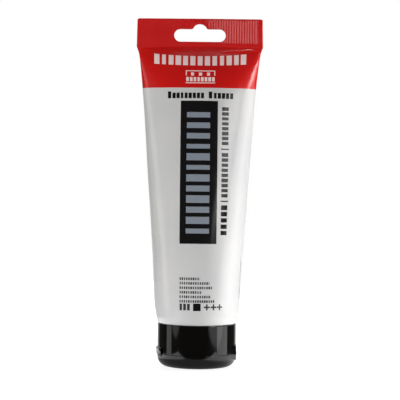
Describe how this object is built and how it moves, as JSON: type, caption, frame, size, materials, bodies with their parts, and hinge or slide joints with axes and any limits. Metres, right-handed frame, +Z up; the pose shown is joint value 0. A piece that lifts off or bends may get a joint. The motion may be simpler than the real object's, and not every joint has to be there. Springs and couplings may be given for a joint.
{
  "type": "paint tube",
  "caption": "Plastic squeeze tube of artist's paint with a crimped end, a euro hang hole and a flip-top screw cap that it stands on.",
  "frame": {"origin": "centre of the lid's flat face, which the tube stands on", "axes": "+Z up the tube to its crimped end, -Y to the printed front, +X to the lid's hinge"},
  "size_m": [0.0746, 0.0506, 0.204],
  "materials": {
    "sleeve_white": "satin",
    "shoulder_natural": "matte",
    "cap_black": "glossy",
    "lid_black": "glossy",
    "cap_black_inner": "satin",
    "hinge_black": "satin",
    "paint": "wet gloss"
  },
  "bodies": {
    "tube": {"tube_sleeve": "sleeve_white", "tube_shoulder": "shoulder_natural", "paint_fill": "paint"},
    "seal": {"neck_seal_ring": "cap_black_inner"},
    "cap": {"cap_base": "cap_black", "lid_hinge_films": "hinge_black", "lid_spring_strap": "hinge_black"},
    "lid": {"cap_lid": "lid_black"}
  },
  "joints": [
    {"name": "cap_travel", "type": "slide", "parent": "tube", "child": "seal", "axis": [0, 0, -1], "range_m": [0, 0.0045]},
    {"name": "cap_unscrew", "type": "hinge", "parent": "seal", "child": "cap", "pos_m": [0, 0, 0], "axis": [0, 0, -1], "range_deg": [0, 540]},
    {"name": "lid_flip", "type": "hinge", "parent": "cap", "child": "lid", "pos_m": [0.02313, 0, 0.0081], "axis": [0, -1, 0], "range_deg": [0, 175], "deforming": ["lid_hinge_films", "lid_spring_strap"]}
  ],
  "couplings": [
    {"joint": "cap_travel", "follows": "cap_unscrew", "m_per_rad": 0.00047746}
  ]
}
